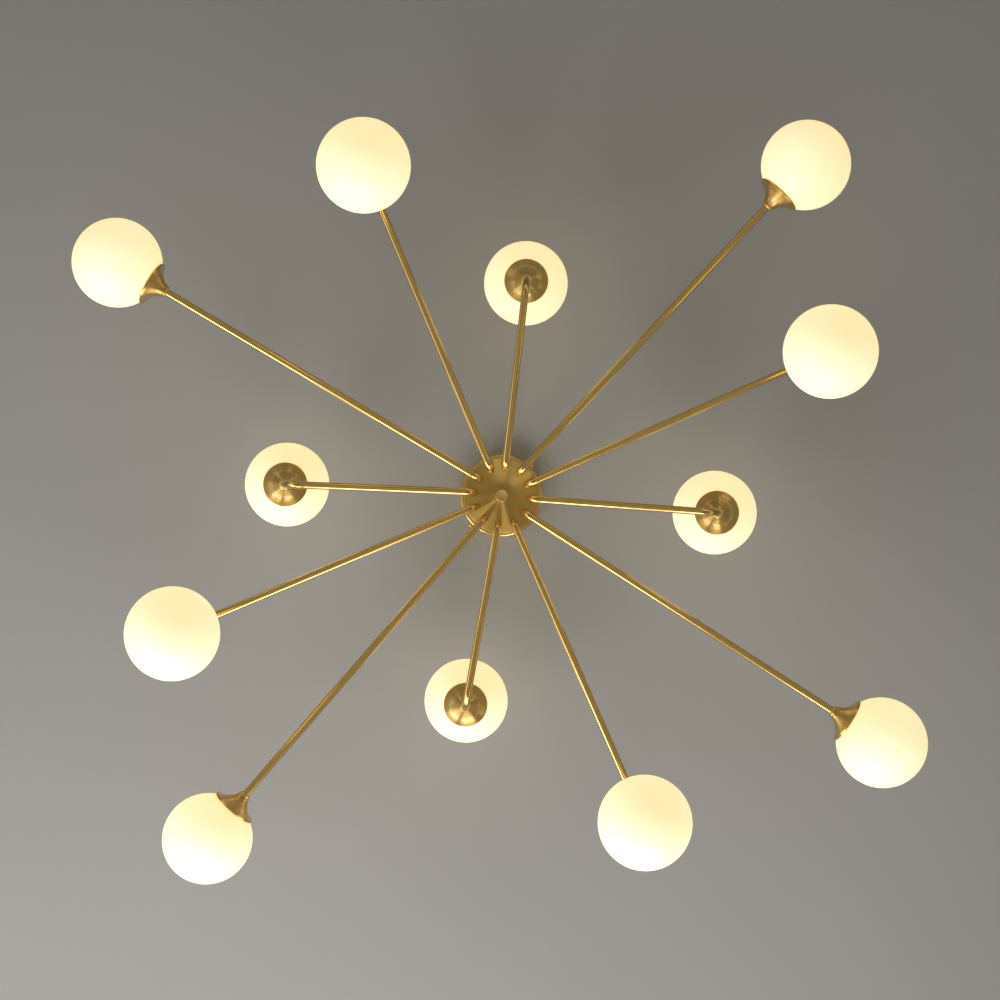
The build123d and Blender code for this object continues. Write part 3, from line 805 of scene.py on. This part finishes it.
def lights_round_the_stem(stage, right, upwards):
    """Two windows on the picture's lower side, a wider light at its left, and weak lights all round."""
    width, height = stage.window_width, stage.window_height
    rows = [
        ("window_left", stage.left_turn, width, height, stage.window_power),
        ("window_right", stage.right_turn, width, height, stage.window_power),
        ("side_light", stage.side_turn, stage.side_width, height, stage.side_power),
    ]
    for index in range(stage.ring_count):
        turn = index * 2 * np.pi / stage.ring_count
        rows.append((f"ring_light_{index + 1}", turn, stage.ring_width, stage.ring_height, stage.ring_power))
    for name, turn, width, height, power in rows:
        away = np.sin(turn) * right - np.cos(turn) * upwards
        place = stage.window_distance * away - stage.window_drop * UP
        soft_light(name, width, height, power, place, -away)


def place_camera(scene, stage, right, upwards):
    """The camera under the lamp, looking straight up but for its two small leans."""
    forward = UP + np.sin(stage.camera_lean_right) * right - np.sin(stage.camera_lean_down) * upwards
    back = -forward / np.linalg.norm(forward)
    right = right - (right @ back) * back
    right /= np.linalg.norm(right)
    upwards = np.cross(back, right)
    camera = bpy.data.cameras.new("camera")
    camera.sensor_width = SENSOR_WIDTH
    camera.lens = stage.camera_lens
    holder = bpy.data.objects.new("camera", camera)
    scene.collection.objects.link(holder)
    turn = Matrix((right, upwards, back)).transposed().to_4x4()
    holder.matrix_world = Matrix.Translation((stage.camera_x, stage.camera_y, -stage.camera_drop)) @ turn
    scene.camera = holder


class CHANDELIER_OT_fixings(Operator):
    """Bracket, threaded rod, terminal block, nuts and screws"""

    bl_idname = "chandelier.fixings"
    bl_label = "Fixings"

    def execute(self, context):
        zinc = zinc_steel("zinc_steel")
        for node in ("ceiling_bracket", "earth_screw", "rod_nuts", "arm_nuts"):
            paint(node, zinc)
        paint("terminal_block", matt_plastic("terminal_plastic"))
        threaded_rod(zinc)
        side_screws()
        return {"FINISHED"}


def threaded_rod(zinc):
    """The rod with its real thread and its wireway."""
    hub = settings().hub
    low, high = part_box("threaded_rod")
    outline = threaded(hub.rod_radius, hub.rod_bore, low.z, high.z, hub.thread_pitch)
    piece = surface("rod_threaded", *turned(outline, STEM_AXIS, 48), sharp=THREAD_SHARP)
    dress(piece, zinc, "root", "zinc_steel", "threaded_rod")


def side_screws():
    """The two knurled side screws: a shank, and a knob with a domed end and ridges round it."""
    canopy = settings().canopy
    material = brushed_brass("brass_knobs", KNOB_LINES, 0.3, rotation=0.0)
    low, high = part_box("canopy_screws")
    knob_radius = (high.z - low.z) / 2
    knob_start = canopy.radius + SOFT_EDGE
    shank, inner = canopy.screw_radius, canopy.screw_tip
    chamfer = 0.0004
    outline = joined(
        points((0, inner), (shank - chamfer, inner), (shank, inner + chamfer), (shank, knob_start)),
        points((knob_radius - SOFT_EDGE, knob_start), (knob_radius, knob_start + SOFT_EDGE)),
        arc((0, high.x - knob_radius), knob_radius, 0, 90, 10),
    )
    for way, name in ((1, "side_screw_plus_x"), (-1, "side_screw_minus_x")):
        seat = Seat((0, 0, (high.z + low.z) / 2), (way, 0, 0))
        grid = turned(outline, seat, 160, canopy.knob_ridges, canopy.knob_ridge_depth)
        dress(surface(name, *grid, closed=False), material, "root", "satin_brass", "canopy_screws")


class CHANDELIER_OT_canopy(Operator):
    """The spun canopy against the ceiling"""

    bl_idname = "chandelier.canopy"
    bl_label = "Canopy"

    def execute(self, context):
        canopy = settings().canopy
        low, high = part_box("canopy")
        r, wall, edge = canopy.radius, canopy.wall, canopy.edge
        outline = joined(
            points((canopy.hole, low.z + wall), (canopy.hole, low.z)),
            arc((r - edge, low.z + edge), edge, -90, 0, 16),
            points((r, high.z), (r - wall, high.z)),
            arc((r - edge, low.z + edge), edge - wall, 0, -90, 12),
        )
        piece = surface("canopy_spun", *turned(outline, STEM_AXIS, 192))
        cut_side_slots(piece, canopy, high.z)
        material = brushed_brass("brass_canopy", SPUN_LINES, 0.7)
        dress(piece, material, "canopy", "satin_brass", "canopy")
        return {"FINISHED"}


def cut_side_slots(piece, canopy, top):
    """Cuts the open-topped slot for each side screw: a bar with a round lower end, run through along X."""
    r = canopy.slot_radius
    down = arc((0, top - canopy.slot_drop), r, 180, 360, 16)
    outline = joined(points((r, top + r), (-r, top + r)), down)
    reach = canopy.radius * 1.2
    bar = bmesh.new()
    first, last = ([bar.verts.new((x, y, z)) for y, z in outline] for x in (-reach, reach))
    bar.faces.new(first)
    bar.faces.new(last[::-1])
    for i in range(len(outline)):
        j = (i + 1) % len(outline)
        bar.faces.new((first[j], first[i], last[i], last[j]))
    bmesh.ops.recalc_face_normals(bar, faces=bar.faces)
    cut_away(piece, bar)


def cut_away(piece, form):
    """Takes a closed form away from a piece's mesh."""
    mesh = bpy.data.meshes.new("cutter")
    form.to_mesh(mesh)
    form.free()
    cutter = bpy.data.objects.new("cutter", mesh)
    bpy.context.scene.collection.objects.link(cutter)
    cut = piece.modifiers.new("cut", "BOOLEAN")
    cut.operation = "DIFFERENCE"
    cut.solver = "EXACT"
    cut.object = cutter
    graph = bpy.context.evaluated_depsgraph_get()
    mesh = bpy.data.meshes.new_from_object(piece.evaluated_get(graph))
    piece.modifiers.clear()
    piece.data = mesh
    bpy.data.objects.remove(cutter)


class CHANDELIER_OT_stem(Operator):
    """The stem from the canopy down to the hub"""

    bl_idname = "chandelier.stem"
    bl_label = "Stem"

    def execute(self, context):
        hub = settings().hub
        low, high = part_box("stem")
        r, deep = hub.stem_radius, hub.stem_thread
        soft = 0.0004
        narrow = hole_for(hub.rod_radius)
        wide = r - hub.stem_wall
        outline = joined(
            points((narrow, low.z), (r - soft, low.z)),
            arc((r - soft, low.z + soft), soft, -90, 0, 4),
            arc((r - soft, high.z - soft), soft, 0, 90, 4),
            points((narrow, high.z), (narrow, high.z - deep), (wide, high.z - deep)),
            points((wide, low.z + deep), (narrow, low.z + deep)),
        )
        material = brushed_brass("brass_stem", STEM_LINES, 0.4)
        turned_piece("stem_tube", outline, STEM_AXIS, 64, material, "root", "satin_brass", "stem")
        return {"FINISHED"}


class CHANDELIER_OT_hub(Operator):
    """Hub cover, hub plate and finial"""

    bl_idname = "chandelier.hub"
    bl_label = "Hub"

    def execute(self, context):
        hub = settings().hub
        hub_cover(hub)
        hub_plate(hub)
        finial(hub)
        return {"FINISHED"}


def hub_cover(hub):
    """The bell over the hub, spun from sheet with a round upper edge."""
    low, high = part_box("hub_cover")
    r, wall, edge = hub.cover_radius, hub.cover_wall, hub.cover_edge
    hole = settings().canopy.hole
    outline = joined(
        points((r - wall, low.z), (r, low.z)),
        arc((r - edge, high.z - edge), edge, 0, 90, 20),
        points((hole, high.z), (hole, high.z - wall)),
        arc((r - edge, high.z - edge), edge - wall, 90, 0, 16),
    )
    material = brushed_brass("brass_cover", SPUN_LINES, 0.7)
    turned_piece("hub_cover_spun", outline, STEM_AXIS, 160, material, "hub_cover", "satin_brass", "hub_cover")


def hub_plate(hub):
    """The plate that carries the arms, brushed in circles: a disc with a rounded lower edge, the ring on its
    upper side that keeps the cover in place, the rod's hole, and a hole for each arm. Two rows of points
    close to the rounded edge keep the flat face's shading flat."""
    low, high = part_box("hub_plate")
    r, edge, top = hub.plate_radius, hub.plate_edge, low.z + hub.plate_thickness
    hole, ring, ring_bore = hole_for(hub.rod_radius), hub.ring_radius, hub.ring_radius - hub.ring_width
    far_row, near_row = 1.5 * edge, 1.02 * edge
    outline = joined(
        points((hole, low.z), (r - far_row, low.z), (r - near_row, low.z)),
        arc((r - edge, low.z + edge), edge, -90, 0, 8),
        points((r, top), (ring, top), (ring, high.z), (ring_bore, high.z), (ring_bore, top), (hole, top)),
    )
    piece = surface("hub_plate_turned", *turned(outline, STEM_AXIS, 192))
    drills = bmesh.new()
    for place in arm_places():
        at = Matrix.Translation((place.base[0], place.base[1], low.z + hub.plate_thickness / 2))
        bmesh.ops.create_cone(drills, cap_ends=True, segments=48, radius1=hub.plate_hole,
                              radius2=hub.plate_hole, depth=2 * hub.plate_thickness, matrix=at)
    cut_away(piece, drills)
    piece.data.set_sharp_from_angle(angle=np.radians(SHARP))
    finish = settings().finish
    material = brushed_brass("brass_plate", PLATE_LINES, finish.plate_anisotropy,
                             roughness=finish.plate_roughness, coat=finish.plate_coat, radial=True)
    dress(piece, material, "root", "satin_brass", "hub_plate")


def finial(hub):
    """The cap nut under the plate, with a rounded lower edge and a shallow dish turned in its face."""
    low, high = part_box("finial")
    r, edge = (high.x - low.x) / 2, hub.finial_edge
    hole, hole_top = hole_for(hub.rod_radius), high.z - hub.finial_thread
    flat_rim, slope = 0.0008, 0.0006
    rim = r - edge - flat_rim
    dish = low.z + hub.finial_dish
    outline = joined(
        points((0, dish), (rim - slope, dish), (rim, low.z)),
        arc((r - edge, low.z + edge), edge, -90, 0, 10),
        points((r, high.z), (hole, high.z), (hole, hole_top), (0, hole_top)),
    )
    material = brushed_brass("brass_finial", BLASTED_GRIT, 0.0, roughness=0.5, tint=settings().finish.finial)
    turned_piece("finial_turned", outline, STEM_AXIS, 96, material, "finial", "satin_brass", "finial",
                 closed=False)


class CHANDELIER_OT_arms(Operator):
    """The twelve bent tubes with their threaded ends and the collars that lock the cups"""

    bl_idname = "chandelier.arms"
    bl_label = "Arms"

    def execute(self, context):
        finish = settings().finish
        tube_brass = brushed_brass("brass_tube", TUBE_LINES, 0.3, roughness=finish.tube_roughness)
        collar_brass = brushed_brass("brass_collar", COLLAR_LINES, 0.5, roughness=finish.cup_roughness)
        zinc = zinc_steel("zinc_nipple")
        for place in arm_places():
            arm_tube(place, tube_brass)
            arm_nipple(place, zinc)
            cup_collar(place, collar_brass)
        return {"FINISHED"}


def arm_tube(place, material):
    """The bent tube: its route from the hub to the cup, with the bends rounded, made a pipe."""
    arm = settings().arm
    route = rounded_route(*place.route())
    grid = piped(route, place.plane_x, place.base, arm.tube_radius, arm.tube_radius - arm.tube_wall)
    dress(surface(f"arm_tube_{place.tag}", *grid), material, place.body, "satin_brass", f"arm_{place.tag}")


def arm_nipple(place, material):
    """The threaded end that passes the hub plate and takes the lock nut."""
    arm = settings().arm
    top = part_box(f"arm_{place.tag}")[1].z
    bottom = place.tube_top - arm.nipple_in_tube
    outline = threaded(arm.nipple_radius, arm.nipple_bore, bottom, top, arm.nipple_pitch)
    grid = turned(outline, Seat(place.base, UP), 40)
    piece = surface(f"arm_nipple_{place.tag}", *grid, sharp=THREAD_SHARP)
    dress(piece, material, place.body, "satin_brass", f"arm_{place.tag}")


def cup_collar(place, material):
    """The tapered collar with the groove between it and the cup."""
    cup = settings().cup
    bore = hole_for(settings().arm.tube_radius)
    soft = SOFT_EDGE
    groove, full = -cup.groove_width, -cup.groove_width - cup.collar_length / 2
    small = -cup.groove_width - cup.collar_length
    outline = joined(
        points((bore, 0), (cup.groove_radius, 0), (cup.groove_radius, groove)),
        arc((cup.collar_radius - soft, groove - soft), soft, 90, 0, 4),
        points((cup.collar_radius, full), (cup.collar_small + soft, small + soft / 2)),
        points((cup.collar_small, small), (bore, small)),
    )
    name, node = f"cup_collar_{place.tag}", f"arm_{place.tag}"
    turned_piece(name, outline, place.seat, 72, material, place.body, "satin_brass", node)


class CHANDELIER_OT_cups(Operator):
    """The twelve bell cups that hold the globes"""

    bl_idname = "chandelier.cups"
    bl_label = "Cups"

    def execute(self, context):
        material = brushed_brass("brass_cup", CUP_LINES, 0.93, roughness=settings().finish.cup_roughness)
        for place in arm_places():
            name, node = f"cup_bell_{place.tag}", f"cup_{place.tag}"
            turned_piece(name, cup_outline(place), place.seat, 96, material, place.body, "satin_brass", node)
        return {"FINISHED"}


def cup_outline(place):
    """A cup's outline: floor, beaded neck, hollow flare, rolled lip, and the flare's inner arc back down."""
    cup = settings().cup
    middle, mouth = flare_middle(place)
    hole = hole_for(settings().arm.tube_radius)
    inner = cup.flare_radius + cup.wall
    top = middle + (np.array([mouth, cup.flare_height]) - middle) * inner / cup.flare_radius
    start = (middle[0] - np.sqrt(inner**2 - (cup.floor - middle[1]) ** 2), cup.floor)
    return joined(
        points((hole, cup.floor), (hole, 0), (cup.neck_radius, 0)),
        bulge((cup.neck_radius, 0), (cup.neck_radius, cup.bead_height), cup.bead),
        arc_between(middle, (cup.neck_radius, cup.bead_height), (mouth, cup.flare_height), 28),
        bulge((mouth, cup.flare_height), (mouth, cup.height), cup.lip, 10),
        arc_between(middle, top, start, 20),
    )


class CHANDELIER_OT_lamps(Operator):
    """The twelve lampholders and their bulbs"""

    bl_idname = "chandelier.lamps"
    bl_label = "Lamps"

    def execute(self, context):
        ceramic = white_ceramic("white_ceramic")
        frosted = frosted_bulb("frosted_bulb")
        for place in arm_places():
            for name, outline, steps, material in (
                (f"lampholder_{place.tag}", holder_outline(place), 72, ceramic),
                (f"bulb_{place.tag}", bulb_outline(), 64, frosted),
            ):
                turned_piece(name, outline, place.seat, steps, material, place.body, "white_ceramic",
                             f"lamp_{place.tag}", closed=False)
        return {"FINISHED"}


def holder_face_height():
    """The height of the lampholder's face over the cup's small end."""
    sizes = settings()
    return sizes.globe.seat_height - sizes.cup.globe_gap + sizes.lamp.skirt_length


def holder_outline(place):
    """Body, shoulder, skirt, and the round mouth that the bulb's base goes into."""
    sizes = settings()
    lamp, cup = sizes.lamp, sizes.cup
    middle, _ = flare_middle(place)
    hole = hole_for(sizes.arm.tube_radius)
    shoulder_top = sizes.globe.seat_height - cup.globe_gap
    shoulder_bottom = shoulder_top - lamp.shoulder_thickness
    clear = cup.flare_radius + cup.wall + cup.globe_gap
    shoulder = middle[0] - np.sqrt(clear**2 - (shoulder_bottom - middle[1]) ** 2)
    skirt = sizes.globe.neck_bore - sizes.hub.running_gap
    face = holder_face_height()
    mouth, mouth_floor = lamp.socket_radius, face - lamp.socket_depth
    inside = cup.floor + lamp.tube_socket
    return joined(
        points((0, inside), (hole, inside), (hole, cup.floor), (lamp.body_radius, cup.floor)),
        points((lamp.body_radius, shoulder_bottom), (shoulder, shoulder_bottom), (shoulder, shoulder_top)),
        points((skirt, shoulder_top), (skirt, face - CHAMFER), (skirt - CHAMFER, face), (mouth, face)),
        points((mouth, mouth_floor), (0, mouth_floor)),
    )


def bulb_outline():
    """A flat base in the lampholder's mouth, a waist, and a capsule with a round end."""
    lamp = settings().lamp
    clearance = 0.0003
    soft, waist_depth, waist_height = 0.001, 0.0006, 0.0012
    bottom = holder_face_height() - lamp.socket_depth + clearance
    waist = bottom + lamp.bulb_base
    tip = bottom + lamp.bulb_length
    r = lamp.bulb_radius
    base = lamp.socket_radius - clearance
    return joined(
        points((0, bottom), (base, bottom), (base, waist - soft), (base - waist_depth, waist)),
        arc((r - soft, waist + waist_height), soft, -90, 0, 4),
        arc((0, tip - r), r, 0, 90, 16),
    )


class CHANDELIER_OT_globes(Operator):
    """The twelve opal globes"""

    bl_idname = "chandelier.globes"
    bl_label = "Globes"

    def execute(self, context):
        globe = settings().globe
        material = opal_glass("opal_glass", globe.neck_length + np.pi * globe.radius)
        for place in arm_places():
            name, outline, node = f"globe_glass_{place.tag}", globe_outline(place), f"globe_{place.tag}"
            turned_piece(name, outline, place.seat, 96, material, place.globe_body, "opal_glass", node,
                         closed=False)
        return {"FINISHED"}


def globe_outline(place):
    """Outside of the ball, then back along its inside to the neck: the first and last points meet at the
    neck's end. The run begins at the neck so that the grain's length is the distance from it."""
    globe = settings().globe
    middle = (0.0, place.seat_to_globe)
    inside = globe.radius - globe.glass
    outer = np.degrees(np.arcsin(globe.neck_radius / globe.radius))
    inner = np.degrees(np.arcsin(globe.neck_bore / inside))
    return joined(
        points((globe.neck_bore, globe.seat_height), (globe.neck_radius, globe.seat_height)),
        arc(middle, globe.radius, outer - 90, 90, 48),
        arc(middle, inside, 90, inner - 90, 40),
        points((globe.neck_bore, globe.seat_height)),
    )


# ------------------------------------------------------------------ panel and registration
OPERATORS = (
    CHANDELIER_OT_stage,
    CHANDELIER_OT_fixings,
    CHANDELIER_OT_canopy,
    CHANDELIER_OT_stem,
    CHANDELIER_OT_hub,
    CHANDELIER_OT_arms,
    CHANDELIER_OT_cups,
    CHANDELIER_OT_lamps,
    CHANDELIER_OT_globes,
)


class CHANDELIER_PT_panel(Panel):
    """The chandelier's pieces and sizes"""

    bl_label = "Sputnik chandelier"
    bl_space_type = "VIEW_3D"
    bl_region_type = "UI"
    bl_category = "Chandelier"

    def draw(self, context):
        for operator in OPERATORS:
            self.layout.operator(operator.bl_idname)
        for group in settings().bl_rna.properties:
            if group.type != "POINTER" or group.identifier == "rna_type":
                continue
            box = self.layout.box()
            box.label(text=group.name)
            values = getattr(settings(), group.identifier)
            for name in values.__annotations__:
                box.prop(values, name)


CLASSES = (
    HubSizes,
    CanopySizes,
    ArmSizes,
    CupSizes,
    LampSizes,
    GlobeSizes,
    Finishes,
    StageSettings,
    ChandelierSettings,
    *OPERATORS,
    CHANDELIER_PT_panel,
)


def register():
    for cls in CLASSES:
        bpy.utils.register_class(cls)
    bpy.types.Scene.chandelier = PointerProperty(type=ChandelierSettings)


def unregister():
    del bpy.types.Scene.chandelier
    for cls in reversed(CLASSES):
        bpy.utils.unregister_class(cls)


def main():
    register()
    for operator in OPERATORS:
        group, name = operator.bl_idname.split(".")
        getattr(getattr(bpy.ops, group), name)()


if __name__ == "__main__":
    main()
